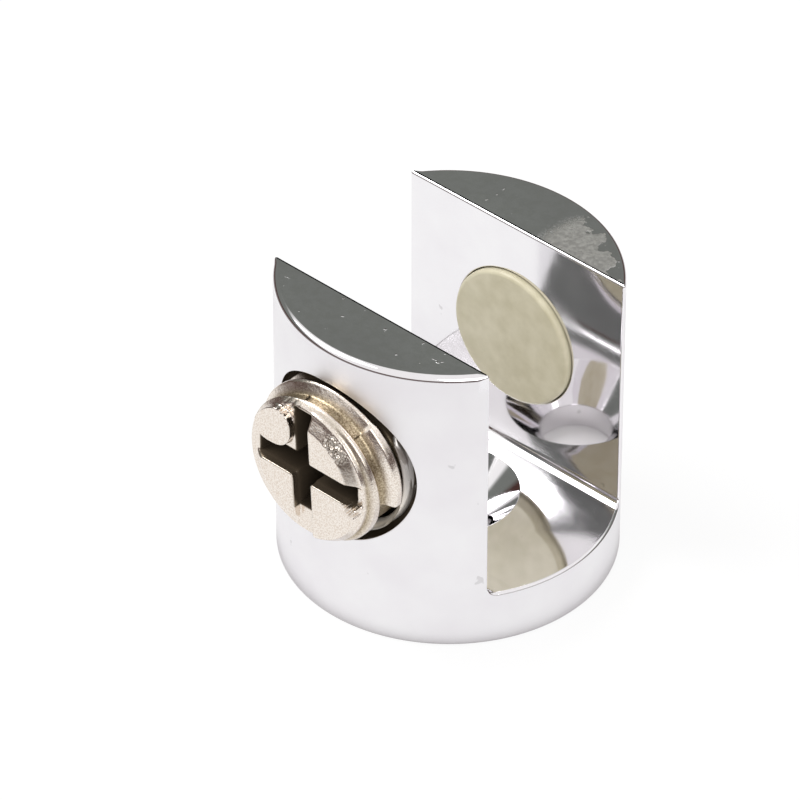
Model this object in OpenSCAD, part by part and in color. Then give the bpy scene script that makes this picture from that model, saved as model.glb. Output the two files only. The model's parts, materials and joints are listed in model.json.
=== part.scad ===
// Clamp for a glass panel: a slotted cast cylinder and a coarse cross-slotted screw.
// The pane stands on the slot floor. The screw pushes a swivelling pad against it,
// and a second pad in the rear wall takes the load on the other side.
// Base on z = 0, body axis on Z, screw axis along +Y with its slotted end towards -Y.

/* [Body] */
// Outside diameter of the cast body
body_d = 20; // [19:0.5:24]
// Height of the body
body_h = 19.2; // [18.5:0.1:22]
// Bevel around the top edge
top_bevel = 0.25; // [0.1:0.05:0.5]
// Bevel around the base edge
base_bevel = 0.2; // [0.1:0.05:0.5]

/* [Glass slot] */
// Width of the slot between the two walls
slot_w = 11.2; // [10.6:0.1:11.8]
// Thickness of the floor under the pane
floor_t = 3.5; // [3:0.1:4.5]
// Radius in the two corners of the slot floor
slot_fillet = 0.5; // [0.2:0.1:1]
// Thickness of the pane that is held at rest
glass_t = 10; // [9:0.1:10.4]

/* [Fixing hole] */
// Diameter of the hole down through the floor
fixing_d = 4.3; // [3.5:0.1:5.5]
// Diameter of its countersink at the slot floor
sink_d = 8.2; // [6.5:0.1:9]

/* [Thread] */
// Diameter over the crests of the screw thread
thread_d = 10; // [9.6:0.1:10.4]
// Travel for each turn
thread_pitch = 1.5; // [1.3:0.05:1.75]
// Height of the thread from root to crest
thread_depth = 0.7; // [0.5:0.05:0.8]
// Width of the flat along a crest
crest_w = 0.3; // [0.2:0.05:0.4]
// Angle of each flank from square to the axis
flank_angle = 30; // [26:1:32]
// Gap between the two threads, square to their faces
thread_gap = 0.15; // [0.08:0.01:0.18]
// Where each turn is left out at the parting of the casting mould, clockwise from the top
break_from = 103; // [90:1:120]
// Where that turn starts again
break_to = 165; // [140:1:190]
// Height of the mould's parting seam above the root
seam_h = 0.08; // [0.04:0.01:0.1]
// Width of the parting seam
seam_w = 0.16; // [0.1:0.02:0.3]

/* [Screw hole] */
// Height of the screw axis above the base
screw_z = 11.5; // [10.5:0.1:12.5]
// Gap around the crests in the smooth mouth of the hole
mouth_gap = 0.3; // [0.2:0.05:0.5]
// Depth of the smooth mouth, from the front of the body
mouth_depth = 1.4; // [1:0.1:2]

/* [Screw] */
// Length of the screw from its slotted face to its tip
screw_len = 6.25; // [5.8:0.05:7]
// Height of the four raised quadrants at the slotted end
boss_h = 0.5; // [0.3:0.05:0.8]
// How far the quadrants lean in from the root of the thread to their face
boss_lean = 0.45; // [0.2:0.05:0.7]
// Distance from the slotted face to the middle of the first crest, at the top
first_crest = 0.8; // [0.7:0.05:1]
// How much lower the first turn is than the rest of the thread
rim_drop = 0.32; // [0.1:0.02:0.4]
// Angle of the chamfer over the thread at both ends, against the screw axis
end_angle = 45; // [35:1:60]
// Width of each slot of the cross
cross_w = 1.3; // [1:0.05:1.6]
// Metal left between the end of each slot and the root of the thread
cross_wall = 0.25; // [0.15:0.05:0.5]
// Depth of the cross
cross_depth = 2.6; // [2:0.1:3]

/* [Pads] */
// Gap around the pad on the screw tip where it passes through the threaded bore
tip_pad_gap = 0.45; // [0.2:0.05:0.8]
// Thickness of the pad on the screw tip
tip_pad_t = 1.1; // [0.8:0.05:1.4]
// Diameter of that pad's stem
stem_d = 3; // [2.4:0.1:3.4]
// Length of that pad's stem
stem_len = 1.7; // [1.2:0.1:2]
// Gap around the stem
stem_gap = 0.05; // [0.02:0.01:0.1]
// Gap between that pad and the screw tip
seat_gap = 0.05; // [0.02:0.01:0.1]
// Diameter of the pad in the rear wall
wall_pad_d = 8.7; // [8:0.1:9]
// Thickness of the pad in the rear wall
wall_pad_t = 1.2; // [0.8:0.05:1.6]
// How far that pad stands out of the wall
wall_pad_out = 0.4; // [0.2:0.05:0.6]
// Gap around that pad in its round seat
wall_pad_gap = 0.05; // [0.02:0.01:0.1]
// Edge rounding of both pads
pad_round = 0.2; // [0.1:0.05:0.3]

/* [Hidden] */

$fn = 96;
turn_steps = 40;                // straight steps in one turn of a thread
over = 1;                       // how far a cutter runs past the metal
embed = 0.12;                   // how far a thread ridge is rooted in its core
run_in = 0.65;                  // turns of thread before the first crest, lost in the chamfer
run_out = 0.6;                  // turns that a tap runs past each end of its bore

body_r = body_d / 2;
wall_face = slot_w / 2;         // both walls stand this far from the body axis

crest_r = thread_d / 2;
root_r = crest_r - thread_depth;
bore_r = root_r + thread_gap;
flank = tan(flank_angle);
flank_shift = thread_gap / cos(flank_angle);

wall_pad_face = wall_face - wall_pad_out;
tip_pad_face = wall_pad_face - glass_t;
screw_tip = tip_pad_face - tip_pad_t - seat_gap;
screw_face = screw_tip - screw_len;
thread_start = screw_face + first_crest;
boss_foot = screw_face + boss_h;
mouth_floor = -body_r + mouth_depth;
tip_pad_r = bore_r - tip_pad_gap;

// A revolved profile of [radius, y] points about the screw axis
module turned(profile) {
    translate([0, 0, screw_z]) rotate([-90, 0, 0]) rotate_extrude() polygon(profile);
}

// Radius of the crest after a number of turns: the first turn is low, and the crest
// then rises to its full height within a quarter turn
function crest_at(turn, full_r, drop) = full_r - drop * max(0, min(1, 4 * (1 - turn)));

// One stretch of thread ridge between two angles, counted in turns from the first crest at the top
module ridge(from, to, foot_r, full_r, top_w, drop = 0) {
    steps = max(1, ceil((to - from) * turn_steps));
    half_top = top_w / 2;
    half_foot = half_top + (full_r - foot_r) * flank;
    rings = [for (i = [0:steps])
        let (turn = from + (to - from) * i / steps,
             r = crest_at(turn, full_r, drop),
             half_crest = half_top + (full_r - r) * flank,
             y = thread_start + thread_pitch * turn)
        [for (p = [[foot_r, -half_foot], [r, -half_crest], [r, half_crest], [foot_r, half_foot]])
            [p[0] * sin(360 * turn), y + p[1], p[0] * cos(360 * turn)]]];
    points = [for (ring = rings) for (p = ring) p];
    sides = [for (i = [0:steps - 1]) for (k = [0:3])
        let (a = 4 * i + k, b = 4 * i + (k + 1) % 4)
        for (face = [[a, b, a + 4], [b, b + 4, a + 4]]) face];
    last = 4 * steps;
    ends = [[3, 2, 1, 0], [last, last + 1, last + 2, last + 3]];
    translate([0, 0, screw_z]) polyhedron(points, concat(sides, ends));
}

module clamp_body() {
    fillet_y = wall_face - slot_fillet;
    fillet_z = floor_t + slot_fillet;
    slot_outline = concat(
        [[wall_face, body_h + over], [-wall_face, body_h + over]],
        [for (a = [180:15:270]) [-fillet_y + slot_fillet * cos(a), fillet_z + slot_fillet * sin(a)]],
        [for (a = [270:15:360]) [fillet_y + slot_fillet * cos(a), fillet_z + slot_fillet * sin(a)]]);
    sink_depth = (sink_d - fixing_d) / 2;
    tap_from = (mouth_floor - thread_start) / thread_pitch - run_out;
    tap_to = (-wall_face - thread_start) / thread_pitch + run_out;
    color("gainsboro") difference() {
        rotate_extrude() polygon([[0, 0], [body_r - base_bevel, 0], [body_r, base_bevel],
            [body_r, body_h - top_bevel], [body_r - top_bevel, body_h], [0, body_h]]);
        // slot for the pane, open at the top and at both sides
        translate([-body_r - over, 0, 0]) rotate([90, 0, 90])
            linear_extrude(body_d + 2 * over) polygon(slot_outline);
        // countersunk hole for the fixing screw
        translate([0, 0, -over]) cylinder(d = fixing_d, h = floor_t + 2 * over);
        translate([0, 0, floor_t - sink_depth]) cylinder(d1 = fixing_d, d2 = sink_d, h = sink_depth);
        translate([0, 0, floor_t]) cylinder(d = sink_d, h = slot_fillet);
        // smooth mouth, bore and internal thread of the screw hole
        turned([[0, -body_r - over], [crest_r + mouth_gap, -body_r - over],
            [crest_r + mouth_gap, mouth_floor], [0, mouth_floor]]);
        turned([[0, mouth_floor - over], [bore_r, mouth_floor - over], [bore_r, 0], [0, 0]]);
        ridge(tap_from, tap_to, bore_r - embed, crest_r + thread_gap,
            crest_w + 2 * (flank_shift - thread_gap * flank));
        // round seat for the rear pad
        turned([[0, 0], [wall_pad_d / 2 + wall_pad_gap, 0],
            [wall_pad_d / 2 + wall_pad_gap, wall_pad_face + wall_pad_t], [0, wall_pad_face + wall_pad_t]]);
    }
}

// All turns of the screw's thread, left out where the mould parts, and chamfered at both ends
module screw_thread() {
    break_starts = break_from / 360;
    break_ends = break_to / 360;
    last_turn = ceil((screw_tip - thread_start) / thread_pitch);
    chamfer_foot = boss_foot - seam_h;
    chamfer_run = (crest_r + over - root_r) / tan(end_angle);
    intersection() {
        union() {
            ridge(-run_in, 1 + break_starts, root_r - embed, crest_r, crest_w, rim_drop);
            for (t = [1:last_turn])
                ridge(t + break_ends, t + 1 + break_starts, root_r - embed, crest_r, crest_w);
        }
        turned([[0, chamfer_foot], [root_r, chamfer_foot],
            [crest_r + over, chamfer_foot + chamfer_run], [crest_r + over, screw_tip - chamfer_run],
            [root_r, screw_tip], [0, screw_tip]]);
    }
}

module clamp_screw() {
    stem_hole_r = stem_d / 2 + stem_gap;
    stem_hole_end = screw_tip - stem_len - seat_gap;
    cross_len = 2 * (root_r - cross_wall);
    color("wheat") difference() {
        union() {
            // core with the raised boss at its slotted end
            turned([[0, screw_face], [root_r - boss_lean, screw_face], [root_r, boss_foot],
                [root_r, screw_tip], [0, screw_tip]]);
            screw_thread();
            // parting seams of the mould
            for (side = [45, 225])
                translate([0, 0, screw_z]) rotate([0, side, 0])
                    translate([-seam_w / 2, boss_foot, root_r - embed])
                        cube([seam_w, screw_tip - boss_foot, seam_h + embed]);
        }
        // cross slots for the driver
        for (side = [0, 90])
            translate([0, 0, screw_z]) rotate([0, side, 0])
                translate([-cross_len / 2, screw_face - over, -cross_w / 2])
                    cube([cross_len, cross_depth + over, cross_w]);
        // hole for the pad's stem
        turned([[0, stem_hole_end], [stem_hole_r, stem_hole_end], [stem_hole_r, screw_tip + over],
            [0, screw_tip + over]]);
    }
}

module tip_pad() {
    back = tip_pad_face - tip_pad_t;
    color("ivory") turned([[0, back - stem_len], [stem_d / 2, back - stem_len], [stem_d / 2, back],
        [tip_pad_r, back], [tip_pad_r, tip_pad_face - pad_round], [tip_pad_r - pad_round, tip_pad_face],
        [0, tip_pad_face]]);
}

module wall_pad() {
    color("ivory") turned([[0, wall_pad_face], [wall_pad_d / 2 - pad_round, wall_pad_face],
        [wall_pad_d / 2, wall_pad_face + pad_round], [wall_pad_d / 2, wall_pad_face + wall_pad_t],
        [0, wall_pad_face + wall_pad_t]]);
}

clamp_body();
clamp_screw();
tip_pad();
wall_pad();
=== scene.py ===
"""Looks of the glass panel clamp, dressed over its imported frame.

Everything is in the frame's axes: Z up, base on z = 0, the screw's slotted end towards -Y.
Shapes are worked out in millimetres and become metres as each mesh is made.
"""

import json
import math

import bpy
import numpy as np
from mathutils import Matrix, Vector


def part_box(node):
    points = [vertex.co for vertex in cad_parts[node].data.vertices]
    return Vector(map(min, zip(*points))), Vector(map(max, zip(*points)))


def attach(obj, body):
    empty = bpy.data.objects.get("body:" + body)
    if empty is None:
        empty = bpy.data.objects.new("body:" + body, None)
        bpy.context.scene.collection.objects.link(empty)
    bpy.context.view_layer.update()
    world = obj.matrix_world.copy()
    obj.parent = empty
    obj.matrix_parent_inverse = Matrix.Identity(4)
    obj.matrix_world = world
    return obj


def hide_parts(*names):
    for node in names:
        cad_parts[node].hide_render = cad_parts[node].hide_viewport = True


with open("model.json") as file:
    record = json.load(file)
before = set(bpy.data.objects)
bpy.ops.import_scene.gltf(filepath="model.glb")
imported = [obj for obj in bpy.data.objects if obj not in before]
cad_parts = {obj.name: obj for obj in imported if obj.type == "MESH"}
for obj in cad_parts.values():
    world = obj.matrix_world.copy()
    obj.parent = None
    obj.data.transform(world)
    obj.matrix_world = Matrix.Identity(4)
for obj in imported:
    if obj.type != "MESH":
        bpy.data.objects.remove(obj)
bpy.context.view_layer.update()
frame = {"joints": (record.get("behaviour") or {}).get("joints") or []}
MM = 0.001

# ---------------------------------------------------------------- sizes, in mm

_, body_high = (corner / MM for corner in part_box("clamp_body"))
screw_low, screw_high = (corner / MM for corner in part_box("clamp_screw"))
tip_low, tip_high = (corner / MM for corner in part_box("tip_pad"))
wall_low, wall_high = (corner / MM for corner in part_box("wall_pad"))
turn_joint = next(j for j in frame["joints"] if j["name"] == "screw_turn")

BODY_R = body_high.x
BODY_H = body_high.z
AXIS_Z = turn_joint["pos_m"][2] / MM
SLOT_Y = 5.6                # both walls stand this far from the body axis
FLOOR_Z = 3.5
SLOT_FILLET = 0.5
FIXING_R, SINK_R = 2.15, 4.1

TOP_ROUND, BASE_ROUND = 0.38, 0.2
SLOT_EDGE_ROUND = 0.18      # along the straight top edges of both walls
TIP_ROUND = 0.2             # where the walls and the floor meet the outside
HOLE_EDGE_ROUND = 0.06
SMALL_ROUND = 0.1

PITCH = 1.5
FLANK = math.radians(30)
CREST_R, ROOT_R, BORE_R = 5.0, 4.3, 4.45
THREAD_START = screw_low.y + 0.8    # the middle of the screw's first crest, at the top
GROOVE_R = CREST_R + 0.15           # the groove that the thread runs in
GROOVE_HALF_W = 0.26
EXIT_R = GROOVE_R + 0.17            # the bore's wider end in the slot

MOUTH_R, MOUTH_FLOOR_Y = 5.3, -8.3
# The raised ring in the screw hole's mouth. It rises and falls between these degrees clockwise from
# the top, and its first part takes painted shade.
RING_R, RING_HALF_W, RING_RISE = 4.74, 0.24, 0.65
RING_GAP = 0.04             # more room for the thread where it passes the ring
RING_RISES, RING_FALLS, RING_SHADED_TO = (42, 60), (158, 172), (80, 110)

ROUND_STEPS = 6             # quads across each rounded edge
HOLE_COLUMNS = 128          # columns round the screw hole
PATCH_STEPS = HOLE_COLUMNS // 4     # columns along each side of the hole's patch
MARGIN_STEPS = 16           # columns from the patch to the wall's end
TURN_COLUMNS = 96           # columns round a turned piece


# ---------------------------------------------------------------- mesh helpers

class Shell:
    """Collects sheets of points with their normals, and joins them where they meet."""

    def __init__(self):
        self.points, self.normals, self.grime, self.faces = [], [], [], []

    def _add(self, points, normals, grime):
        first = len(self.points)
        self.points.extend(map(tuple, points.reshape(-1, 3)))
        self.normals.extend(map(tuple, normals.reshape(-1, 3)))
        self.grime.extend(np.broadcast_to(grime, points.shape[:-1]).ravel())
        return first

    def sheet(self, points, normals, closed=False, grime=0.0):
        """Quads over a grid of points, facing along the normals.

        closed joins the last column to the first, and the last argument is the share of dirt and
        painted shade at each point."""
        points, normals = np.asarray(points, float), np.asarray(normals, float)
        normals = np.broadcast_to(normals, points.shape)
        rows, cols = points.shape[:2]
        first = self._add(points, normals, grime)
        for i in range(rows - 1):
            for j in range(cols if closed else cols - 1):
                k = (j + 1) % cols
                a, b, c, d = points[i, j], points[i, k], points[i + 1, k], points[i + 1, j]
                quad = [first + i * cols + j, first + i * cols + k,
                        first + (i + 1) * cols + k, first + (i + 1) * cols + j]
                facing = np.cross(c - a, d - b) @ (normals[i, j] + normals[i, k]
                                                    + normals[i + 1, j] + normals[i + 1, k])
                self.faces.append(quad if facing > 0 else quad[::-1])

    def flat(self, loop, normal):
        """One flat face with the given outline."""
        loop = np.asarray(loop, float)
        first = self._add(loop, np.broadcast_to(normal, loop.shape), 0.0)
        area = sum(np.cross(loop[i - 1], loop[i]) for i in range(len(loop)))
        face = list(range(first, first + len(loop)))
        self.faces.append(face if area @ np.asarray(normal, float) > 0 else face[::-1])

    def holed(self, outer, inner, normal, across):
        """A flat face with a round hole, cut in two along the direction across.

        Both loops turn the same way."""
        outer, inner = np.asarray(outer, float), np.asarray(inner, float)
        middle, across = inner.mean(0), np.asarray(across, float)

        def ends(loop):
            ray = unit(loop - middle)
            return int(np.argmax(ray @ across)), int(np.argmin(ray @ across))

        def walk(loop, start, stop):
            stop += len(loop) if stop < start else 0
            return [loop[i % len(loop)] for i in range(start, stop + 1)]

        (o_far, o_near), (i_far, i_near) = ends(outer), ends(inner)
        self.flat(walk(outer, o_far, o_near) + walk(inner, i_far, i_near)[::-1], normal)
        self.flat(walk(outer, o_near, o_far) + walk(inner, i_near, i_far)[::-1], normal)

    def build(self, name, layers=None):
        """The mesh object, with points that coincide joined and their normals kept.

        layers turns the points and their share of dirt and painted shade into the values that the
        material reads."""
        points, normals = np.array(self.points), np.array(self.normals)
        keys = np.round((points + 1.7e-6) / 1e-5).astype(np.int64)
        _, kept, where = np.unique(keys, axis=0, return_index=True, return_inverse=True)
        where = where.ravel()
        summed = np.zeros((len(kept), 3))
        np.add.at(summed, where, normals)
        summed /= np.maximum(np.linalg.norm(summed, axis=1, keepdims=True), 1e-9)
        grime = np.zeros(len(kept))
        np.maximum.at(grime, where, np.array(self.grime))
        faces = []
        for face in self.faces:
            ring = [int(where[i]) for i in face]
            ring = [v for i, v in enumerate(ring) if v != ring[i - 1]]
            if len(ring) > 2:
                faces.append(ring)
        values = layers(points[kept], grime) if layers else {}
        return mesh_object(name, points[kept], faces, summed, **values)


def mesh_object(name, points, faces, normals, **layers):
    """A smooth mesh in metres from points in millimetres, with normals and its material's values."""
    mesh = bpy.data.meshes.new(name)
    mesh.from_pydata((np.asarray(points) * MM).tolist(), [], faces)
    mesh.shade_smooth()
    mesh.normals_split_custom_set_from_vertices([tuple(n) for n in normals])
    for layer_name, values in layers.items():
        attribute = mesh.attributes.new(layer_name, "FLOAT", "POINT")
        attribute.data.foreach_set("value", values.astype(np.float32))
    return add_object(name, mesh)


def add_object(name, data):
    obj = bpy.data.objects.new(name, data)
    bpy.context.scene.collection.objects.link(obj)
    return obj


def grid_normals(points, towards, closed=False):
    """Normals of a grid of points, taken from its own slopes, on the side of the vectors towards."""
    down = np.gradient(points, axis=0)
    if closed:
        along = np.roll(points, -1, axis=1) - np.roll(points, 1, axis=1)
    else:
        along = np.gradient(points, axis=1)
    normals = np.cross(down, along)
    normals /= np.linalg.norm(normals, axis=2, keepdims=True) + 1e-12
    side = np.sign(np.sum(normals * towards, axis=2, keepdims=True))
    return normals * np.where(side == 0, 1, side)


def turn_angles(count=TURN_COLUMNS):
    return np.linspace(0, 2 * math.pi, count, endpoint=False)


def unit(vectors):
    vectors = np.asarray(vectors, float)
    return vectors / np.linalg.norm(vectors, axis=-1, keepdims=True)


def smooth_step(value, start, stop):
    """0 before the start, 1 after the stop and a smooth rise between them."""
    share = np.clip((value - start) / (stop - start), 0, 1)
    return share * share * (3 - 2 * share)


def round_steps():
    """The cosines and sines over a quarter turn, for the sections of a rounded edge."""
    return [(math.cos(bend), math.sin(bend)) for bend in np.linspace(0, math.pi / 2, ROUND_STEPS + 1)]


def around_screw(radius, angle, y):
    """Points at an angle clockwise from the top, seen from the slotted end."""
    radius, angle, y = np.broadcast_arrays(radius, angle, y)
    return np.stack([radius * np.sin(angle), y, AXIS_Z + radius * np.cos(angle)], -1)


def on_body(angle, z, depth=0.0):
    """Points on the outside of the body: angle 0 is the front (-Y), and 90 degrees is +X."""
    angle, z, depth = np.broadcast_arrays(angle, z, depth)
    return np.stack([(BODY_R - depth) * np.sin(angle), -(BODY_R - depth) * np.cos(angle), z], -1)


# ---------------------------------------------------------------- the cast body

PATCH_ANGLE = math.radians(40)      # half the width of the wall patch round the hole
PATCH_HALF_H = 6.5
TIP_ANGLE = math.acos((SLOT_Y + TIP_ROUND) / BODY_R)


def wall_rows():
    """Heights of the rows of points up both walls, between the slot's fillet and the top rounding."""
    patch = AXIS_Z + PATCH_HALF_H * np.linspace(-1, 1, PATCH_STEPS + 1)
    return np.concatenate([[FLOOR_Z + SLOT_FILLET], patch])


def top_round(angle):
    """Radius of the rounding round the top: small along the slot, full round the outside."""
    run = smooth_step(TIP_ANGLE - np.abs(angle), 0, math.radians(3))
    return SLOT_EDGE_ROUND + (TOP_ROUND - SLOT_EDGE_ROUND) * run


def wall_columns():
    """Angles of the columns of points across the outside of one wall, from its middle."""
    patch = PATCH_ANGLE * np.linspace(-1, 1, PATCH_STEPS + 1)
    margin = np.linspace(PATCH_ANGLE, TIP_ANGLE, MARGIN_STEPS + 1)[1:]
    return np.concatenate([-margin[::-1], patch, margin])


def slot_section():
    """The slot's section from the front wall's top, over the floor, to the rear wall's top.

    Returns its (y, z) points and the directions into the metal."""
    up = np.append(wall_rows(), BODY_H - SLOT_EDGE_ROUND)
    front = np.stack([np.full(len(up), -SLOT_Y), up[::-1]], 1)
    bend = np.linspace(math.pi / 2, 0, 9)[1:-1]
    fillet = np.stack([-(SLOT_Y - SLOT_FILLET) - SLOT_FILLET * np.sin(bend),
                       FLOOR_Z + SLOT_FILLET - SLOT_FILLET * np.cos(bend)], 1)
    fillet_n = np.stack([-np.sin(bend), -np.cos(bend)], 1)
    floor_y = np.linspace(-1, 1, 33) * (SLOT_Y - SLOT_FILLET)
    floor = np.stack([floor_y, np.full(len(floor_y), FLOOR_Z)], 1)
    mirror = np.array([-1, 1])
    points = np.concatenate([front, fillet, floor, (fillet * mirror)[::-1], (front * mirror)[::-1]])
    normals = np.concatenate([np.tile([-1.0, 0.0], (len(front), 1)), fillet_n,
                              np.tile([0.0, -1.0], (len(floor), 1)), (fillet_n * mirror)[::-1],
                              np.tile([1.0, 0.0], (len(front), 1))])
    return points, normals


def slot_flare(side):
    """The rounded edge where the slot meets the outside, at the end on that side of X."""
    points, normals = slot_section()
    into = np.column_stack([np.zeros(len(points)), normals])
    rings, ring_normals = [], []
    for cos, sin in round_steps():
        out = points + normals * TIP_ROUND * (1 - cos)
        depth = TIP_ROUND * (1 - sin)
        x = side * np.sqrt((BODY_R - depth) ** 2 - out[:, 0] ** 2)
        ring = np.column_stack([x, out])
        radial = unit(ring * [1, 1, 0])
        rings.append(ring)
        ring_normals.append(unit(-cos * into + sin * radial))
    return np.array(rings), np.array(ring_normals)


def add_slot(shell):
    """The flared ends, the fillets, the floor and what lies under the flares down to the base."""
    ends = {}
    for side in (-1, 1):
        rings, normals = slot_flare(side)
        shell.sheet(rings, normals)
        ends[side] = rings[0]
        low = np.nonzero(rings[-1][:, 2] <= FLOOR_Z + SLOT_FILLET + 1e-6)[0]
        upper = rings[-1][low]
        lower = upper.copy()
        lower[:, 2] = BASE_ROUND
        radial = unit(upper * [1, 1, 0])
        shell.sheet([upper, lower], radial)
    points, normals = slot_section()
    into = np.column_stack([np.zeros(len(points)), normals])
    bends = [i for i in range(len(points)) if points[i, 1] <= FLOOR_Z + SLOT_FILLET + 1e-6]
    floor = [i for i in bends if points[i, 1] <= FLOOR_Z + 1e-6]
    for run in (bends[:bends.index(floor[0]) + 1], bends[bends.index(floor[-1]):]):
        shell.sheet([ends[-1][run], ends[1][run]], -into[run])
    outline = np.concatenate([ends[1][floor], ends[-1][floor][::-1]])
    turn = turn_angles()
    rim = np.stack([np.cos(turn), np.sin(turn)], 1) * (SINK_R + SMALL_ROUND)
    shell.holed(outline, np.column_stack([rim, np.full(len(rim), FLOOR_Z)]), (0, 0, 1), (0, 1, 0))
    return ends


def add_wall_face(shell, ends, facing, hole_r):
    """The flat side of one wall towards the slot, with its round hole. facing is its y's sign."""
    y = SLOT_Y * facing
    columns = {}
    for side in (-1, 1):
        edge = ends[side]
        mine = edge[edge[:, 1] * facing > SLOT_Y - 1e-6]
        columns[side] = mine[np.argsort(mine[:, 2])]
    outline = np.concatenate([columns[1], columns[-1][::-1]])
    turn = turn_angles(HOLE_COLUMNS)
    rim = np.stack([hole_r * np.cos(turn), np.full(len(turn), y), AXIS_Z + hole_r * np.sin(turn)], 1)
    shell.holed(outline, rim, (0, -facing, 0), (0, 0, 1))


def add_wall_outside(shell, front):
    """The outside of one wall, round a gap for the screw hole's patch where it is the front wall."""
    columns, rows = wall_columns(), np.concatenate([[BASE_ROUND], wall_rows()])
    turned = 0 if front else math.pi

    def grid(angles, heights, with_top=True):
        z = np.tile(heights[:, None], (1, len(angles)))
        if with_top:
            z = np.vstack([z, BODY_H - top_round(angles)])
        points = on_body(angles + turned, z)
        shell.sheet(points, unit(points * [1, 1, 0]))

    if not front:
        grid(columns, rows)
        return
    grid(columns[:MARGIN_STEPS + 1], rows)
    grid(columns[-MARGIN_STEPS - 1:], rows)
    middle = columns[MARGIN_STEPS:-MARGIN_STEPS]
    grid(middle, rows[:3], with_top=False)
    grid(middle, rows[-1:])


def add_top(shell, front):
    """The rounded top edge and the flat top of one wall."""
    columns = wall_columns()[1:-1]
    turned, first_side, top = (0, -1, 0) if front else (math.pi, 1, -1)
    start, stop = ([grid[:, top] for grid in slot_flare(side)] for side in (first_side, -first_side))
    arc = on_body(columns + turned, BODY_H)
    loop = np.concatenate([start[0], arc, stop[0][::-1]])
    normals = np.concatenate([start[1], unit(arc * [1, 1, 0]), stop[1][::-1]])
    corner = np.full(ROUND_STEPS + 1, SLOT_EDGE_ROUND)
    rounds = np.concatenate([corner, top_round(columns), corner])[:, None]
    rings, ring_normals = [], []
    for cos, sin in round_steps():
        ring = loop - normals * rounds * (1 - cos)
        ring[:, 2] = BODY_H - rounds[:, 0] * (1 - sin)
        rings.append(ring)
        ring_normals.append(cos * normals + sin * np.array([0, 0, 1]))
    shell.sheet(rings, ring_normals, closed=True)
    shell.flat(rings[-1], (0, 0, 1))


def base_angles():
    """Angles of every column that reaches the base, once round."""
    walls = wall_columns()
    rings, _ = slot_flare(1)
    low = rings[-1][rings[-1][:, 2] <= FLOOR_Z + SLOT_FILLET + 1e-6]
    slot = np.arctan2(low[:, 0], -low[:, 1])
    return np.concatenate([walls, slot[1:-1], walls + math.pi, (slot + math.pi)[1:-1]])


def fixing_profile():
    """The fixing hole's (radius, z) points, from the rim of its countersink down to the base."""
    sink_foot = FLOOR_Z - (SINK_R - FIXING_R)
    tan_round = SMALL_ROUND * math.tan(math.radians(22.5))
    profile = [(SINK_R + SMALL_ROUND, FLOOR_Z)]
    for bend in np.linspace(0, math.pi / 4, 4)[1:]:
        profile.append((SINK_R + SMALL_ROUND - 2 * tan_round * math.sin(bend),
                        FLOOR_Z - 2 * tan_round * (1 - math.cos(bend))))
    profile += [(FIXING_R + 0.05, sink_foot + 0.05), (FIXING_R, sink_foot - 0.03),
                (FIXING_R, SMALL_ROUND)]
    for cos, sin in round_steps()[1:]:
        profile.append((FIXING_R + SMALL_ROUND * (1 - cos),
                        SMALL_ROUND * (1 - sin)))
    return np.array(profile)


def add_base(shell):
    """The rounded base edge, the flat base and the countersunk fixing hole."""
    angles = base_angles()
    rings, normals = [], []
    for cos, sin in round_steps():
        depth = BASE_ROUND * (1 - cos)
        ring = on_body(angles, BASE_ROUND * (1 - sin), depth)
        rings.append(ring)
        normals.append(cos * unit(ring * [1, 1, 0]) - sin * np.array([0, 0, 1]))
    shell.sheet(rings, normals, closed=True)
    turn, profile = turn_angles(), fixing_profile()
    points = np.stack([profile[:, :1] * np.cos(turn), profile[:, :1] * np.sin(turn),
                       np.tile(profile[:, 1:], (1, len(turn)))], -1)
    shell.sheet(points, grid_normals(points, -points * [1, 1, 0], closed=True), closed=True)
    shell.holed(rings[-1], points[-1], (0, 0, -1), (0, 1, 0))


def patch_angles():
    """Angles round the screw hole, clockwise from the top, a quarter of them for each patch side."""
    return math.radians(-45) + np.arange(HOLE_COLUMNS) * math.radians(90) / PATCH_STEPS


def add_hole_patch(shell):
    """The outside of the front wall round the screw hole, and the hole's rounded rim."""
    angles = patch_angles()
    run = np.linspace(-1, 1, PATCH_STEPS + 1)[:-1]
    one = np.ones(PATCH_STEPS)
    border = np.concatenate([np.stack([run, one], 1), np.stack([one, -run], 1),
                             np.stack([-run, -one], 1), np.stack([-one, run], 1)])
    border = border * [PATCH_ANGLE, PATCH_HALF_H] + [0, AXIS_Z]
    rim_r = MOUTH_R + HOLE_EDGE_ROUND
    circle = np.stack([np.arcsin(rim_r * np.sin(angles) / BODY_R),
                       AXIS_Z + rim_r * np.cos(angles)], 1)
    rings = [circle + (border - circle) * t for t in (0, 0.06, 0.16, 0.3, 0.46, 0.64, 0.82, 1)]
    points = np.array([on_body(ring[:, 0], ring[:, 1]) for ring in rings])
    shell.sheet(points, unit(points * [1, 1, 0]), closed=True)
    rings, normals = [], []
    for cos, sin in round_steps():
        ring = around_screw(MOUTH_R + HOLE_EDGE_ROUND * (1 - cos), angles, 0.0)
        depth = HOLE_EDGE_ROUND * (1 - sin)
        ring[:, 1] = -np.sqrt((BODY_R - depth) ** 2 - ring[:, 0] ** 2)
        inward = -unit(around_screw(1.0, angles, 0.0) - [0, 0, AXIS_Z])
        rings.append(ring)
        normals.append(unit(cos * inward + sin * unit(ring * [1, 1, 0])))
    shell.sheet(rings, normals, closed=True)
    return rings[0]


def bore_radius(angle, y):
    """Radius of the threaded bore: a helical groove with sloping flanks in a smooth bore."""
    phase = (y - THREAD_START) / PITCH - angle / (2 * math.pi)
    offset = np.abs(phase - np.round(phase)) * PITCH
    groove = GROOVE_R - np.maximum(0, offset - GROOVE_HALF_W) / math.tan(FLANK)
    return smooth_max(np.full_like(groove, BORE_R), groove, 0.06)


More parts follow.
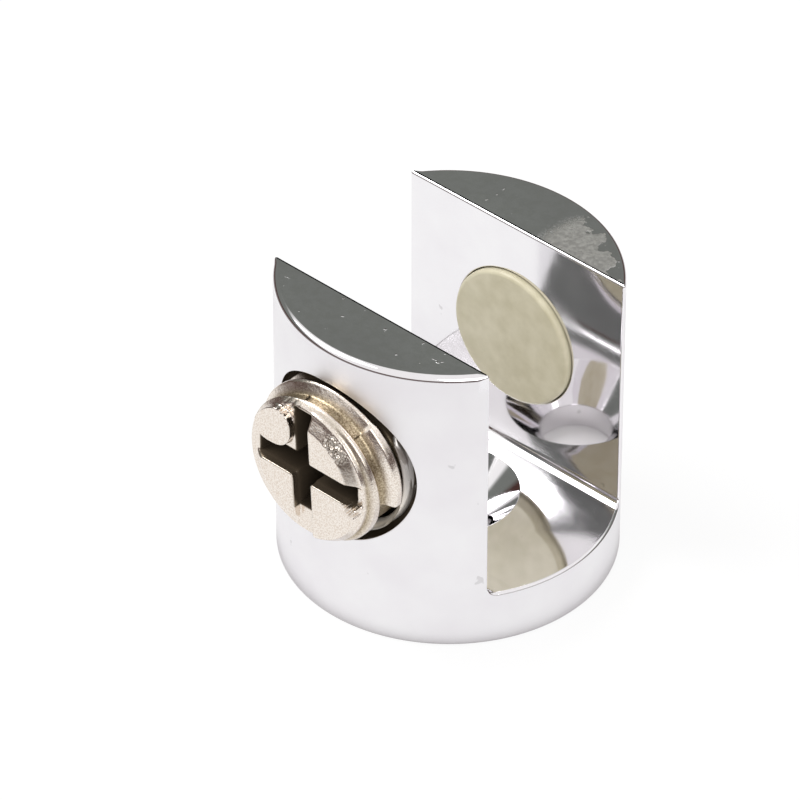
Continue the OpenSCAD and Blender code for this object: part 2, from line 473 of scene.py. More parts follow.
def mouth_rows(rim, angles):
    """The smooth wall of the mouth and the outer part of its floor, as rows of points and their share
    of painted shade and dirt.
    """
    for share in (0.15, 0.5, 0.9):
        row = around_screw(MOUTH_R, angles, 0.0)
        row[:, 1] = rim[:, 1] + (MOUTH_FLOOR_Y - rim[:, 1]) * share
        yield row, 1.0
    ring_foot = RING_R + RING_HALF_W
    for radius, dirt_and_shade in ((ring_foot + 0.04, 1.0), (ring_foot, 0.9)):
        radius = np.maximum(radius, bore_radius(angles, MOUTH_FLOOR_Y))
        yield around_screw(radius, angles, MOUTH_FLOOR_Y), dirt_and_shade


def ring_rows(angles):
    """The raised ring on the mouth's floor, with painted shade at its feet and on its first part."""
    turn = np.degrees(np.mod(angles, 2 * math.pi))
    rise = RING_RISE * smooth_step(turn, *RING_RISES) * (1 - smooth_step(turn, *RING_FALLS))
    for bend in np.linspace(0, math.pi, 21)[1:-1]:
        radius = RING_R + RING_HALF_W * math.cos(bend)
        y = MOUTH_FLOOR_Y - rise * math.sin(bend)
        dirt_and_shade = 0.5 * (1 - math.sin(bend)) + 0.4 * (1 - smooth_step(turn, *RING_SHADED_TO))
        yield (around_screw(np.maximum(radius, bore_radius(angles, y) + RING_GAP), angles, y),
               np.where(rise > 0.1, dirt_and_shade, 1.0))


def bore_rows(angles):
    """The threaded bore and its countersunk end in the slot. Its painted shade and dirt ease off
    towards the slot.
    """
    exit_y = -SLOT_Y
    for y in np.arange(MOUTH_FLOOR_Y + 0.02, exit_y - 0.02, 0.06):
        cone = np.maximum(RING_R - RING_HALF_W - (y - MOUTH_FLOOR_Y), EXIT_R - 0.05 + (y - exit_y))
        radius = smooth_max(bore_radius(angles, y), np.full_like(angles, cone), 0.05)
        dirt_and_shade = 1.0 - 0.7 * smooth_step(y, MOUTH_FLOOR_Y + 0.6, MOUTH_FLOOR_Y + 1.6)
        yield around_screw(radius, angles, y), dirt_and_shade
    yield around_screw(EXIT_R - 0.05, angles, exit_y - 0.02), 0.2
    yield around_screw(EXIT_R, angles, exit_y), 0.0


def add_hole(shell, rim):
    """The screw hole from its rim to the slot."""
    angles = patch_angles()
    # The rows and their shares of painted shade and dirt; the rim's row is partly darkened.
    rows = [(rim, 0.6), *mouth_rows(rim, angles), *ring_rows(angles), *bore_rows(angles)]
    points = np.array([row for row, _ in rows])
    grime = np.array([np.broadcast_to(dirt_and_shade, angles.shape) for _, dirt_and_shade in rows])
    towards = [0, 0, AXIS_Z] - points * [1, 0, 1] - [0, 2, 0]
    shell.sheet(points, grid_normals(points, towards, closed=True), closed=True, grime=grime)


def add_pad_seat(shell):
    """The round seat of the rear pad."""
    turn = turn_angles(HOLE_COLUMNS)
    seat_r, seat_floor = wall_high.x + 0.05, wall_high.y
    rings, normals = [], []
    for cos, sin in round_steps()[::-1]:
        r = seat_r + SMALL_ROUND * (1 - cos)
        y = SLOT_Y + SMALL_ROUND * (1 - sin)
        ring = np.stack([r * np.cos(turn), np.full_like(turn, y), AXIS_Z + r * np.sin(turn)], 1)
        inward = np.stack([-np.cos(turn), np.zeros_like(turn), -np.sin(turn)], 1)
        rings.append(ring)
        normals.append(cos * inward + sin * np.array([0, -1, 0]))
    floor = rings[-1].copy()
    floor[:, 1] = seat_floor
    shell.sheet(rings, normals, closed=True)
    shell.sheet([rings[-1], floor], normals[-1], closed=True)
    shell.flat(floor, (0, -1, 0))
    return seat_r + SMALL_ROUND


def body_layers(points, grime):
    """Satin round the outside below the top's rounding, and dull on the raised ring where it has no
    painted shade or dirt.
    """
    x, y, z = points.T
    outside = smooth_step(np.hypot(x, y), BODY_R - 0.03, BODY_R - 0.01)
    below_top = 1 - smooth_step(z, BODY_H - TOP_ROUND + 0.005, BODY_H - TOP_ROUND + 0.05)
    inside_mouth = smooth_step(MOUTH_R - np.hypot(x, z - AXIS_Z), 0.05, 0.3)
    return {"grime": grime, "satin": outside * below_top,
            "dull": (1 - grime) * (y < MOUTH_FLOOR_Y) * inside_mouth}


def make_body():
    shell = Shell()
    ends = add_slot(shell)
    add_hole(shell, add_hole_patch(shell))
    seat_rim_r = add_pad_seat(shell)
    add_wall_face(shell, ends, -1, EXIT_R)
    add_wall_face(shell, ends, 1, seat_rim_r)
    for front in (True, False):
        add_wall_outside(shell, front)
        add_top(shell, front)
    add_base(shell)
    return shell.build("body_casting", body_layers)


# ---------------------------------------------------------------- the cast screw

def smooth_max(a, b, radius):
    """The larger of two fields, with the crease between them rounded."""
    mix = np.maximum(radius - np.abs(a - b), 0) / radius
    return np.maximum(a, b) + mix * mix * radius / 4


def smooth_min(a, b, radius):
    return -smooth_max(-a, -b, radius)


def box_field(u, v, w, half_u, half_v, half_w):
    """Distance outside a box, negative inside."""
    return np.maximum(np.maximum(np.abs(u) - half_u, np.abs(v) - half_v), np.abs(w) - half_w)


BREAK_FROM, BREAK_TO = 103 / 360, 165 / 360     # where the crest is left out, as a share of a turn
SEAM_TURN = 39 / 360                    # the first of the two seams, as a share of a turn
SEAM_HALF_W, SEAM_H = 0.05, 0.08
STEM_HOLE_R, STEM_HOLE_DEPTH = 1.55, 1.75
BOSS_H = 0.5
CROSS_W, CROSS_DEPTH = 1.3, 2.6
CROSS_RIGHT, CROSS_UP = -0.1, 0.38      # where the slots cross, from the axis
UPRIGHT_LOW, UPRIGHT_HIGH = -2.5, 4.15  # the ends of the upright slot
LEVEL_LEFT, LEVEL_RIGHT = -3.6, 3.8     # the ends of the level slot
UPRIGHT_TURN = math.radians(3)
# The four parts of the slotted face. Each has the side of X and of Z that it is on, its radius at the
# face and at its foot, and the rounding of its edges along the slots.
FACE_PARTS = ((-1, 1, 4.4, 4.35, 2.0), (1, 1, 3.45, 4.35, 0.15),
              (1, -1, 4.05, 4.35, 0.2), (-1, -1, 3.4, 4.1, 0.4))
TORN_PLACES = ((-1.35, 4.15), (3.7, -0.45))     # small torn steps by two of the slots' ends
TORN_PITCH, TORN_DEPTH, TORN_REACH = 0.34, 0.1, 0.5
# Crumbled metal on the sloping side of the upper right part, by degrees clockwise from the top.
CRUMB_WAVES, CRUMB_DEPTH, CRUMB_FROM, CRUMB_TO = 7, 0.024, 24, 54
DARK_SLOPE_TO = 78                           # a painted dark reflection covers the slope from the crumbs to here
DARK_IN_HOLE = (0.35, 0.75)             # painted shade darkens the screw between these depths behind the hole's rim


def crest_half_width(total):
    """Half the width of the thread's crest. It widens clockwise on the turns that show."""
    first = 0.12 + 0.2 * smooth_step(total, SEAM_TURN, 0.35) * (1 - smooth_step(total, 0.45, 0.62))
    second = 0.13 + 0.12 * smooth_step(total - 1, SEAM_TURN - 0.005, SEAM_TURN + 0.005)
    return np.where(total < 0.65, first, np.where(total < 1 + BREAK_FROM, second, 0.15))


def thread_field(r, turn, y):
    """Below zero inside the thread. turn is the angle clockwise from the top, in turns."""
    nearest = np.round((y - THREAD_START) / PITCH - turn)
    total = turn + nearest
    offset = np.abs(y - THREAD_START - PITCH * total)
    crest = CREST_R - 0.32 * np.clip(4 * (0.85 - total), 0, 1)
    flank = (offset - crest_half_width(total) - (crest - r) * math.tan(FLANK)) * math.cos(FLANK)
    ridge = smooth_max(flank, r - crest, 0.1)
    share = total - np.floor(total)
    middle, half = (BREAK_FROM + BREAK_TO) / 2, (BREAK_TO - BREAK_FROM) / 2
    gap = (half - np.abs(share - middle)) * 2 * math.pi * r
    broken = smooth_max(ridge, gap, 0.1)
    return np.where(total > 1 + BREAK_FROM - 0.01, broken, ridge)


def from_slots(x, z):
    """How far right of the upright slot's middle line and above the level slot's a point is."""
    right, up = x - CROSS_RIGHT, z - CROSS_UP
    return right * math.cos(UPRIGHT_TURN) + up * math.sin(UPRIGHT_TURN), up


def cross_field(x, y, z):
    """Below zero inside the two driver slots."""
    depth = y - screw_low.y
    across, up = from_slots(x, z)
    level = box_field(x - (LEVEL_LEFT + LEVEL_RIGHT) / 2, depth, up,
                      (LEVEL_RIGHT - LEVEL_LEFT) / 2, CROSS_DEPTH, CROSS_W / 2)
    upright = box_field(across, depth, z - (UPRIGHT_LOW + UPRIGHT_HIGH) / 2,
                        CROSS_W / 2, CROSS_DEPTH, (UPRIGHT_HIGH - UPRIGHT_LOW) / 2)
    return smooth_min(level, upright, 0.1)


def boss_field(x, y, z, r):
    """The slotted boss. Each part of its face has its own radius, and its side slopes to the foot."""
    height = y - screw_low.y
    across, up = from_slots(x, z)
    boss = np.full_like(r, 10.0)
    for side, upper, radius, foot_r, corner in FACE_PARTS:
        spread = (foot_r - radius) / BOSS_H
        part = (r - radius - spread * height) / math.hypot(1, spread)
        part = smooth_max(part, r - max(radius, foot_r), 0.04)
        beside = CROSS_W / 2 - side * across
        above = CROSS_W / 2 - upper * up
        part = smooth_max(smooth_max(part, beside, corner), above, corner)
        boss = np.minimum(boss, smooth_max(part, -height, 0.06))
    return smooth_max(boss, height - BOSS_H - 0.2, 0.05)


def on_slope(x, y, z, start, stop):
    """1 on the sloping side of the upper right part between two angles, and 0 away from it."""
    r, angle = np.hypot(x, z), np.degrees(np.arctan2(x, z))
    across = smooth_step(r, 3.4, 3.6) * (1 - smooth_step(r, 4.05, 4.3))
    low = 1 - smooth_step(y - screw_low.y, 0.35, 0.55)
    along = smooth_step(angle, start, start + 6) * (1 - smooth_step(angle, stop - 10, stop))
    return across * low * along


def torn_steps(x, y, z):
    """Small ripples in the surface by the slots' ends, and crumbs on one sloping side."""
    ripple, depth = 0.0, y - screw_low.y
    for place_x, place_z in TORN_PLACES:
        right, up = x - place_x, z - place_z
        near = np.minimum(1, 1.6 * np.exp(-(right ** 2 + up ** 2 + depth ** 2) / TORN_REACH ** 2))
        wave = np.sin((right * 0.8 - up * 0.6) * 2 * math.pi / TORN_PITCH)
        ripple = ripple + TORN_DEPTH * wave * near
    # Only cuts in near the rim, so that the boss still clears the bore.
    ripple = np.maximum(ripple, -TORN_DEPTH * (1 - smooth_step(np.hypot(x, z), 4.15, 4.3)))
    share = on_slope(x, y, z, CRUMB_FROM, CRUMB_TO)
    for wave in range(CRUMB_WAVES):
        heading, pitch = 2.4 * wave, 0.24 + 0.05 * wave
        along = x * math.cos(heading) + z * math.sin(heading) + 0.5 * y
        ripple = ripple + CRUMB_DEPTH * share * np.sin(along * 2 * math.pi / pitch + 1.7 * wave)
    return ripple


def screw_field(x, y, z):
    """Below zero inside the screw."""
    r = np.hypot(x, z)
    turn = np.arctan2(x, z) / (2 * math.pi)
    face, tip = screw_low.y, screw_high.y
    foot = face + BOSS_H
    thread = thread_field(r, turn, y)
    lead = ((r - ROOT_R) - (y - foot + 0.08)) * math.sqrt(0.5)
    tail = ((r - ROOT_R) - (tip - y)) * math.sqrt(0.5)
    thread = smooth_max(smooth_max(thread, lead, 0.08), tail, 0.1)
    thread = smooth_max(thread, foot - y, 0.05)
    core = smooth_max(r - ROOT_R, foot - y, 0.1)
    solid = smooth_min(smooth_min(core, thread, 0.12), boss_field(x, y, z, r), 0.12)
    seam_angle = np.abs(np.mod(turn * 2 - SEAM_TURN * 2 + 0.5, 1) - 0.5) * math.pi
    seam = smooth_max(seam_angle * r - SEAM_HALF_W, r - ROOT_R - SEAM_H, 0.05)
    seam = np.maximum(seam, foot - y)
    solid = smooth_min(solid, seam, 0.04)
    solid = smooth_max(solid, -cross_field(x, y, z), 0.12) + torn_steps(x, y, z)
    stem_hole = smooth_max(r - STEM_HOLE_R, tip - STEM_HOLE_DEPTH - y, 0.05)
    solid = smooth_max(solid, -stem_hole, 0.05)
    return smooth_max(solid, y - tip, 0.2)


def stepped(at, u, v, back_u, back_v):
    """The cells at a step back, or none, along two of the axes."""
    cell = at.copy()
    cell[:, u] -= back_u
    cell[:, v] -= back_v
    return cell


def surface_net(field, low, high, step):
    """Quads over the surface where the field is zero: points, faces and normals."""
    axes = [np.arange(a, b + step, step) for a, b in zip(low, high)]
    values = field(*np.meshgrid(*axes, indexing="ij"))
    inside = values < 0
    cells = tuple(n - 1 for n in inside.shape)
    total, count = np.zeros(cells + (3,)), np.zeros(cells)
    crossings = []
    for axis in range(3):
        here = tuple(slice(0, -1) if k == axis else slice(None) for k in range(3))
        there = tuple(slice(1, None) if k == axis else slice(None) for k in range(3))
        changed = inside[here] != inside[there]
        at = np.argwhere(changed)
        share = values[here][changed] / (values[here][changed] - values[there][changed])
        place = at.astype(float)
        place[:, axis] += share
        u, v = [k for k in range(3) if k != axis]
        for back in ((0, 0), (0, 1), (1, 0), (1, 1)):
            cell = stepped(at, u, v, *back)
            good = np.all((cell >= 0) & (cell < cells), axis=1)
            index = tuple(cell[good].T)
            np.add.at(total, index, place[good])
            np.add.at(count, index, 1)
        crossings.append((axis, at, inside[here][changed]))
    used = np.argwhere(count > 0)
    number = -np.ones(cells, int)
    number[tuple(used.T)] = np.arange(len(used))
    points = total[tuple(used.T)] / count[tuple(used.T)][:, None]
    points = points * step + np.array([axis[0] for axis in axes])
    faces = []
    for axis, at, was_inside in crossings:
        u, v = (axis + 1) % 3, (axis + 2) % 3
        corners = []
        for back in ((1, 1), (0, 1), (0, 0), (1, 0)):
            cell = np.clip(stepped(at, u, v, *back), 0, np.array(cells) - 1)
            corners.append(number[tuple(cell.T)])
        quads = np.stack(corners, 1)
        quads[~was_inside] = quads[~was_inside][:, ::-1]
        faces.append(quads[np.all(quads >= 0, axis=1)])
    faces = np.concatenate(faces)
    for _ in range(3):
        value, slope = field_slope(field, points, step * 0.1)
        size = np.maximum(np.sum(slope * slope, 1), 0.05)
        move = -(value / size)[:, None] * slope
        length = np.linalg.norm(move, axis=1, keepdims=True)
        points = points + move * np.minimum(1, 0.4 * step / np.maximum(length, 1e-9))
    _, slope = field_slope(field, points, step * 0.3)
    return points, faces.tolist(), unit(slope)


def field_slope(field, points, reach):
    """The field and its slope at each point."""
    value = field(*points.T)
    slope = np.stack([(field(*(points + d).T) - field(*(points - d).T)) / (2 * reach)
                      for d in np.eye(3) * reach], 1)
    return value, slope


def make_screw():
    """The screw, darkened by dirt and painted shade in its slots and inside the hole, with a painted
    dark reflection on the crumbled slope, and tarnished.
    """
    step = 0.075
    margin = 2.5 * step
    low = (-CREST_R - margin, screw_low.y - margin, -CREST_R - margin)
    high = (CREST_R + margin, screw_high.y + margin, CREST_R + margin)
    points, faces, normals = surface_net(screw_field, low, high, step)
    x, y, z = points.T
    depth = y - screw_low.y
    in_cross = 1 - smooth_step(cross_field(x, y, z), 0.05, 0.12)
    rim_y = -np.sqrt(BODY_R ** 2 - np.minimum(np.abs(x), MOUTH_R) ** 2)
    down_slots = 0.5 * smooth_step(depth, -0.05, 0.06) + 0.5 * smooth_step(depth, 0.06, 0.35)
    # Darker down the slots with dirt and painted shade, and painted shade on the screw behind the
    # hole's rim.
    grime = np.maximum(in_cross * down_slots, smooth_step(y - rim_y, *DARK_IN_HOLE))
    # Half dark on the crumbled slope: a painted dark reflection.
    grime = np.maximum(grime, 0.5 * on_slope(x, y, z, CRUMB_FROM, DARK_SLOPE_TO))
    in_groove = smooth_step(depth, 0.55, 0.8) * (1 - smooth_step(np.hypot(x, z), 4.3, 4.8))
    tarnish = np.maximum(in_groove, 0.8 * in_cross * smooth_step(depth, -0.02, 0.1))
    points[:, 2] += AXIS_Z
    return mesh_object("screw_casting", points, faces, normals, grime=grime, tarnish=tarnish)


# ---------------------------------------------------------------- the pads

PAD_STEM_R = 1.5
PAD_THICK = 1.1             # the tip pad's disc, without its stem


def lathe(name, profile, centre_z):
    """A piece turned about an axis along Y, from (radius, y) points."""
    turn, profile = turn_angles(), np.array(profile, float)
    r, y = profile[:, :1], profile[:, 1:]
    points = np.stack([r * np.cos(turn), np.tile(y, (1, len(turn))), centre_z + r * np.sin(turn)], -1)
    slope = np.gradient(profile, axis=0)
    normal = unit(np.stack([slope[:, 1], -slope[:, 0]], 1))
    if normal[np.argmax(profile[:, 0]), 0] < 0:
        normal = -normal
    normals = np.stack([normal[:, :1] * np.cos(turn), np.tile(normal[:, 1:], (1, len(turn))),
                        normal[:, :1] * np.sin(turn)], -1)
    shell = Shell()
    shell.sheet(points, normals, closed=True)
    return shell.build(name)


def rounded(corner, before, after, radius, steps=5):
    """Points of an arc that rounds a square corner of a profile between two directions."""
    corner, before, after = (np.array(v, float) for v in (corner, before, after))
    centre = corner + (before + after) * radius
    return [tuple(centre - after * radius * math.cos(b) - before * radius * math.sin(b))
            for b in np.linspace(0, math.pi / 2, steps)]


def make_tip_pad():
    """The disc on the screw's tip and its stem, with a small fillet between them."""
    r, front = tip_high.x, tip_high.y
    back = front - PAD_THICK
    profile = [(0.01, tip_low.y)]
    profile += rounded((PAD_STEM_R, tip_low.y), (-1, 0), (0, 1), 0.15)
    profile += [(PAD_STEM_R, back - 0.02), (PAD_STEM_R + 0.04, back)]
    profile += rounded((r, back), (-1, 0), (0, 1), 0.12)
    profile += rounded((r, front), (0, -1), (-1, 0), 0.2)
    profile += [(r * 0.6, front), (0.01, front)]
    return lathe("tip_pad_disc", profile, AXIS_Z)


def make_wall_pad():
    r, face, back = wall_high.x, wall_low.y, wall_high.y
    profile = [(0.01, face), (r * 0.6, face)]
    profile += rounded((r, face), (-1, 0), (0, 1), 0.25)
    profile += [(r, back), (0.01, back)]
    return lathe("wall_pad_disc", profile, AXIS_Z)


# ---------------------------------------------------------------- materials

SATIN_ROUGH = 0.36                      # the outside of the body
# The colour of the dark, dull layer that stands for dirt and for painted shade.
SHADE_AND_DIRT_COLOUR = (0.055, 0.042, 0.029, 1)
# The scuffed patch on the rear wall's top, in metres: its middle, its reach from there, how ragged
# its edge is and how soft, and how far from the body's axis it stops.
SCUFF_PLACE = (0.0060, 0.0070, 0.0192)
SCUFF_REACH, SCUFF_RAGGED, SCUFF_SOFT = 0.0052, 0.0022, 0.0006
SCUFF_RIM, SCUFF_RIM_SOFT = 0.0114, 0.0002
SCUFF_SCALE = 0.02          # the distance that the ramps of the patch reach over


def material(name):
    mat = bpy.data.materials.new(name)
    mat.use_nodes = True
    tree = mat.node_tree
    return mat, tree, tree.nodes["Principled BSDF"]


def layer(tree, name):
    """One of the values that the mesh has at each of its points."""
    node = tree.nodes.new("ShaderNodeAttribute")
    node.attribute_name = name
    return node.outputs["Fac"]


def place_on(tree):
    """The place on the object, in metres."""
    return tree.nodes.new("ShaderNodeTexCoord").outputs["Object"]


def noise(tree, scale, detail=4.0, rough=0.5):
    node = tree.nodes.new("ShaderNodeTexNoise")
    node.inputs["Scale"].default_value = scale
    node.inputs["Detail"].default_value = detail
    node.inputs["Roughness"].default_value = rough
    tree.links.new(place_on(tree), node.inputs["Vector"])
    return node.outputs["Fac"]


def grey(value):
    return (value, value, value)


def ramp(tree, source, stops):
    """The colour for a value, by stops of a position and its colour."""
    node = tree.nodes.new("ShaderNodeValToRGB")
    elements = node.color_ramp.elements
    while len(elements) < len(stops):
        elements.new(0.5)
    for element, (at, colour) in zip(elements, stops):
        element.position = at
        element.color = (*colour, 1)
    tree.links.new(source, node.inputs["Fac"])
    return node.outputs["Color"]


def calculate(tree, operation, first, second):
    """The output of a sum over two values, each a number or the output of another node."""
    node = tree.nodes.new("ShaderNodeMath")
    node.operation = operation
    for socket, value in zip(node.inputs, (first, second)):
        if isinstance(value, float):
            socket.default_value = value
        else:
            tree.links.new(value, socket)
    return node.outputs[0]


def times(tree, first, second):
    return calculate(tree, "MULTIPLY", first, second)


def vector_math(tree, operation, first, second=None):
    """A node that works on the vector first, and on a second one that is given as numbers."""
    node = tree.nodes.new("ShaderNodeVectorMath")
    node.operation = operation
    tree.links.new(first, node.inputs[0])
    if second is not None:
        node.inputs[1].default_value = second
    return node


def mix_colour(tree, share, first, second):
    """The output of a mix of two colours, each a colour or the output of another node."""
    node = tree.nodes.new("ShaderNodeMix")
    node.data_type = "RGBA"
    tree.links.new(share, node.inputs[0])
    for socket, value in ((node.inputs[6], first), (node.inputs[7], second)):
        if isinstance(value, tuple):
            socket.default_value = (*value, 1)
        else:
            tree.links.new(value, socket)
    return node.outputs[2]


def bump(tree, height, bsdf, strength, distance):
    node = tree.nodes.new("ShaderNodeBump")
    node.inputs["Strength"].default_value = strength
    node.inputs["Distance"].default_value = distance
    tree.links.new(height, node.inputs["Height"])
    tree.links.new(node.outputs["Normal"], bsdf.inputs["Normal"])


def lay_over(tree, bsdf, over, share):
    """Shows one shader over another, by a share."""
    mix = tree.nodes.new("ShaderNodeMixShader")
    tree.links.new(share, mix.inputs["Fac"])
    tree.links.new(bsdf.outputs[0], mix.inputs[1])
    tree.links.new(over.outputs[0], mix.inputs[2])
    tree.links.new(mix.outputs[0], tree.nodes["Material Output"].inputs["Surface"])


def metal(name):
    """A metal with a dark, dull layer over it, for dirt and painted shade, by the share at each
    point.
    """
    mat, tree, bsdf = material(name)
    bsdf.inputs["Metallic"].default_value = 1.0
    dirt_and_shade = tree.nodes.new("ShaderNodeBsdfDiffuse")
    dirt_and_shade.inputs["Color"].default_value = SHADE_AND_DIRT_COLOUR
    lay_over(tree, bsdf, dirt_and_shade, layer(tree, "grime"))
    return mat, tree, bsdf


def chrome():
    """Chrome plate: mirror bright, satin round the outside, darkened in the hole by dirt and painted
    shade, scuffed on one top.
    """
    mat, tree, bsdf = metal("chrome_plate")
    smear = noise(tree, 260, 3)
    grain = noise(tree, 3500, 6, 0.7)
    place = tree.nodes.new("ShaderNodeSeparateXYZ")
    tree.links.new(place_on(tree), place.inputs[0])
    on_top = calculate(tree, "GREATER_THAN", place.outputs["Z"], (BODY_H - 0.01) * MM)
    scuff = times(tree, scuffed(tree, grain), on_top)
    dull, satin = layer(tree, "dull"), layer(tree, "satin")

    plate = ramp(tree, smear, [(0.35, (0.83, 0.81, 0.835)), (0.7, (0.87, 0.86, 0.875))])
    worn = ramp(tree, grain, [(0.4, (0.60, 0.58, 0.56)), (0.6, (0.90, 0.88, 0.85))])
    marks = ramp(tree, noise(tree, 950, 2), [(0.735, grey(0)), (0.76, grey(0.3))])
    mottle = ramp(tree, noise(tree, 1500, 6, 0.7), [(0.42, grey(0)), (0.6, grey(0.3))])
    colour = mix_colour(tree, scuff, plate, worn)
    colour = mix_colour(tree, marks, colour, (0.35, 0.33, 0.33))
    colour = mix_colour(tree, times(tree, mottle, on_top), colour, (0.68, 0.67, 0.65))
    colour = mix_colour(tree, dull, colour, (0.72, 0.67, 0.60))
    tree.links.new(colour, bsdf.inputs["Base Color"])
    shine = calculate(tree, "SUBTRACT", 1.0, times(tree, dull, 0.7))
    tree.links.new(shine, bsdf.inputs["Metallic"])

    rough = ramp(tree, smear, [(0.4, grey(0.045)), (0.75, grey(0.11))])
    rough = mix_colour(tree, satin, rough, grey(SATIN_ROUGH))
    rough = mix_colour(tree, scuff, rough, grey(0.3))
    tree.links.new(rough, bsdf.inputs["Roughness"])

    specks = ramp(tree, noise(tree, 1900, 2), [(0.72, grey(0)), (0.75, grey(1))])
    height = calculate(tree, "MAXIMUM", times(tree, specks, on_top), times(tree, scuff, grain))
    bump(tree, height, bsdf, 0.4, 0.00003)
    return mat


def within(tree, distance, reach, soft):
    """1 up to a distance in metres and 0 beyond it, with a short run between."""
    return ramp(tree, times(tree, distance, 1 / SCUFF_SCALE),
                [(reach / SCUFF_SCALE, grey(1)), ((reach + soft) / SCUFF_SCALE, grey(0))])


def scuffed(tree, grain):
    """The share of scuffing: a patch with a ragged edge on the rear wall's top."""
    where = place_on(tree)
    away = vector_math(tree, "DISTANCE", where, SCUFF_PLACE).outputs["Value"]
    away = calculate(tree, "ADD", away, times(tree, grain, SCUFF_RAGGED))
    level = vector_math(tree, "MULTIPLY", where, (1, 1, 0)).outputs["Vector"]
    from_axis = vector_math(tree, "LENGTH", level).outputs["Value"]
    broad = times(tree, noise(tree, 700, 3, 0.6), 2 * SCUFF_RAGGED)
    from_axis = calculate(tree, "ADD", from_axis, broad)
    return times(tree, within(tree, away, SCUFF_REACH, SCUFF_SOFT),
                 within(tree, from_axis, SCUFF_RIM, SCUFF_RIM_SOFT))


def nickel():
    """Warm nickel plate over a grainy casting, khaki with tarnish in its groove."""
    mat, tree, bsdf = metal("nickel_casting")
    grain = noise(tree, 11000, 4, 0.65)
    tarnish = layer(tree, "tarnish")
    clean = ramp(tree, grain, [(0.38, (0.70, 0.60, 0.51)), (0.55, (0.87, 0.81, 0.745))])
    dull = ramp(tree, grain, [(0.4, (0.22, 0.165, 0.10)), (0.6, (0.56, 0.47, 0.33))])
    tree.links.new(mix_colour(tree, tarnish, clean, dull), bsdf.inputs["Base Color"])
    rough = ramp(tree, grain, [(0.35, grey(0.28)), (0.65, grey(0.11))])
    tree.links.new(mix_colour(tree, tarnish, rough, grey(0.36)), bsdf.inputs["Roughness"])
    height = calculate(tree, "ADD", times(tree, grain, 0.3), noise(tree, 2600, 3, 0.6))
    bump(tree, height, bsdf, 0.5, 0.00004)
    return mat


def pad_plastic():
    mat, tree, bsdf = material("pad_plastic")
    grain = noise(tree, 900, 4)
    tint = ramp(tree, grain, [(0.3, (0.50, 0.46, 0.32)), (0.7, (0.60, 0.56, 0.42))])
    tree.links.new(tint, bsdf.inputs["Base Color"])
    bsdf.inputs["Roughness"].default_value = 0.4
    bump(tree, grain, bsdf, 0.15, 0.00002)
    return mat


# ---------------------------------------------------------------- stage, light and camera

VIEW_AZIMUTH, VIEW_ELEVATION = 0.74866, 0.65998
WHITE = (1, 1, 1)
HORIZON = (0.075, 0.038, 0.032)         # the dark, brownish band the metal mirrors at the horizon
SKY_GREY, SKY_BRIGHT = (0.185, 0.195, 0.18), (1.0, 0.99, 0.98)
BAND_TOP, BAND_EDGE = math.radians(8), math.radians(6)
BRIGHT_ELEVATION = math.radians(62)     # the bright patch: the height of its middle,
BRIGHT_REACH = math.radians(70)         # how far it reaches from there
BRIGHT_EDGE = math.radians(6)           # and how softly it ends
# What the metal mirrors of the floor, by distance from its middle in metres: dark up to the body's
# foot, white beyond it, and ending in the horizon's colour.
CONTACT_NEAR, CONTACT_FAR = 0.0100, 0.0104
CONTACT_SHADE = (0.22, 0.2, 0.2)
FLOOR_NEAR, FLOOR_FAR = 0.065, 0.085
FLOOR_SCALE = 5.0                       # brings those distances into the ramp's range
FLOOR_GLOW = 0.85                       # the floor's own light, for the camera and in the metal
FLOOR_HALF = 3.0                        # half the floor's size, in metres


def direction(azimuth, elevation):
    """The unit vector out to a view."""
    return Vector((math.sin(azimuth) * math.cos(elevation), -math.cos(azimuth) * math.cos(elevation),
                   math.sin(elevation)))


def make_floor():
    """A plain pale floor. What the metal mirrors of it ends a little way out, as on a small table."""
    mesh = bpy.data.meshes.new("floor")
    corners = [(FLOOR_HALF * x, FLOOR_HALF * y, 0) for x, y in ((-1, -1), (1, -1), (1, 1), (-1, 1))]
    mesh.from_pydata(corners, [], [(0, 1, 2, 3)])
    mat, tree, bsdf = material("floor_white")
    bsdf.inputs["Base Color"].default_value = (0.9, 0.9, 0.9, 1)
    bsdf.inputs["Roughness"].default_value = 1.0
    reach = vector_math(tree, "LENGTH", place_on(tree)).outputs["Value"]
    path = tree.nodes.new("ShaderNodeLightPath").outputs
    shades = ((CONTACT_NEAR, CONTACT_SHADE), (CONTACT_FAR, WHITE), (FLOOR_NEAR, WHITE),
              (FLOOR_FAR, HORIZON))
    mirrored = ramp(tree, times(tree, reach, FLOOR_SCALE),
                    [(at * FLOOR_SCALE, shade) for at, shade in shades])
    glow = tree.nodes.new("ShaderNodeEmission")
    tree.links.new(mix_colour(tree, path["Is Camera Ray"], mirrored, WHITE), glow.inputs["Color"])
    seen = calculate(tree, "MAXIMUM", path["Is Camera Ray"], path["Is Glossy Ray"])
    outside = calculate(tree, "GREATER_THAN", reach, BODY_R * MM * 0.9)
    lay_over(tree, bsdf, glow, times(tree, times(tree, seen, outside), FLOOR_GLOW))
    mesh.materials.append(mat)
    add_object("floor", mesh)


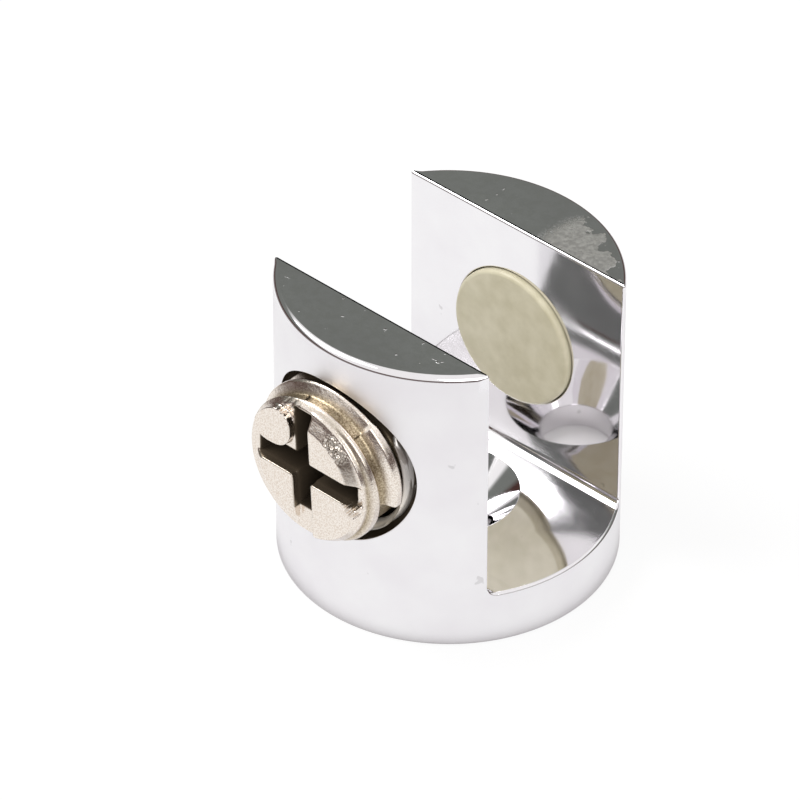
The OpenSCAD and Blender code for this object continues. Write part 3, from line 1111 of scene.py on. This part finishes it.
def make_world():
    """A dark band at the horizon, a bright patch overhead on the camera's side, grey beyond it."""
    world = bpy.data.worlds.new("studio")
    bpy.context.scene.world = world
    world.use_nodes = True
    tree = world.node_tree
    where = tree.nodes.new("ShaderNodeTexCoord").outputs["Generated"]
    parts = tree.nodes.new("ShaderNodeSeparateXYZ")
    tree.links.new(where, parts.inputs[0])
    bright = direction(VIEW_AZIMUTH, BRIGHT_ELEVATION)
    towards = vector_math(tree, "DOT_PRODUCT", where, bright).outputs["Value"]
    sky = ramp(tree, towards, [(math.cos(BRIGHT_REACH + BRIGHT_EDGE), SKY_GREY),
                               (math.cos(BRIGHT_REACH), SKY_BRIGHT)])
    band = ramp(tree, parts.outputs["Z"], [(math.sin(BAND_TOP), grey(0)),
                                           (math.sin(BAND_TOP + BAND_EDGE), grey(1))])
    colour = mix_colour(tree, band, HORIZON, sky)
    seen = tree.nodes.new("ShaderNodeLightPath").outputs["Is Camera Ray"]
    tree.links.new(mix_colour(tree, seen, colour, WHITE), tree.nodes["Background"].inputs["Color"])
    tree.nodes["Background"].inputs["Strength"].default_value = 1.0


def area_lamp(name, place, size, power):
    data = bpy.data.lights.new(name, "AREA")
    data.shape = "RECTANGLE"
    data.size, data.size_y = size
    data.energy = power
    lamp = add_object(name, data)
    lamp.location = place
    lamp.rotation_euler = (-Vector(place)).to_track_quat("-Z", "Y").to_euler()


def make_lamps():
    area_lamp("key", (-0.5, -0.25, 0.75), (0.5, 0.5), 5)
    area_lamp("fill", (0.75, -0.5, 0.6), (0.6, 0.6), 3)


VIEW_DISTANCE = 0.36271
SENSOR = 36.0
FOCAL_PIXELS = 6321.6
FRAME_PIXELS = 800
AIM_RIGHT, AIM_UP = -0.0027967, 0.0002923     # how far the view's middle is from the body's


def make_camera():
    back = direction(VIEW_AZIMUTH, VIEW_ELEVATION)
    right = Vector((math.cos(VIEW_AZIMUTH), math.sin(VIEW_AZIMUTH), 0))
    data = bpy.data.cameras.new("camera")
    data.sensor_width = SENSOR
    data.lens = FOCAL_PIXELS * SENSOR / FRAME_PIXELS
    camera = add_object("camera", data)
    middle = Vector((0, 0, BODY_H * MM / 2))
    camera.location = middle + back * VIEW_DISTANCE + right * AIM_RIGHT + right.cross(-back) * AIM_UP
    camera.rotation_euler = back.to_track_quat("Z", "Y").to_euler()
    bpy.context.scene.camera = camera


# ---------------------------------------------------------------- putting it together

def dress(piece, body, node, mat):
    """Gives a piece its material, says what it rides, and hides the node that it replaces."""
    piece.data.materials.append(mat)
    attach(piece, body)
    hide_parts(node)


dress(make_body(), "clamp", "clamp_body", chrome())
dress(make_screw(), "screw", "clamp_screw", nickel())
plastic = pad_plastic()
dress(make_tip_pad(), "pad", "tip_pad", plastic)
dress(make_wall_pad(), "clamp", "wall_pad", plastic)

make_floor()
make_world()
make_lamps()
make_camera()
bpy.context.scene.view_settings.view_transform = "Standard"
